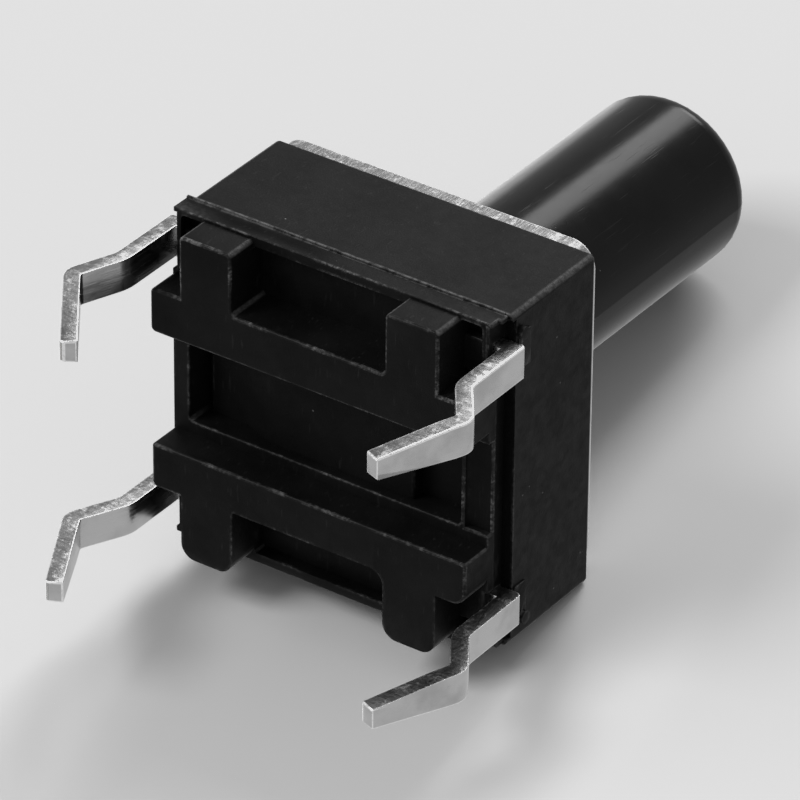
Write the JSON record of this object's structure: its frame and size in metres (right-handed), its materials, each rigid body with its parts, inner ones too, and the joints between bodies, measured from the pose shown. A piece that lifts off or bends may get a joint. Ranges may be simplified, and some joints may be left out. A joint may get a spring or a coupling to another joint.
{
  "type": "tactile push button switch",
  "caption": "Square through-hole tactile push button switch with a long round stem and kinked snap-in legs.",
  "frame": {"origin": "middle of the leg pattern, on the plane where the housing's standoff bars rest on the circuit board", "axes": "+Z along the stem, away from the board; +X across the housing, from one kinked pair of legs to the other; +Y along the row of two legs, from the outer contact terminal to the centre contact terminal"},
  "size_m": [0.0075, 0.006, 0.0131],
  "materials": {
    "housing_plastic": "moulded, matte",
    "stem_plastic": "smooth, semi-gloss",
    "cover_metal": "tin-plated, satin",
    "terminal_metal": "tin-plated, bright",
    "dome_metal": "rolled spring steel"
  },
  "bodies": {
    "housing": {"base": "housing_plastic", "outer_contact_terminal": "terminal_metal", "centre_contact_terminal": "terminal_metal", "snap_dome": "dome_metal", "cover_plate": "cover_metal"},
    "button": {"stem": "stem_plastic"}
  },
  "joints": [
    {"name": "button_press", "type": "slide", "parent": "housing", "child": "button", "axis": [0, 0, -1], "range_m": [0, 0.00025], "stiffness_N_per_m": 6400, "deforming": ["snap_dome"]}
  ]
}
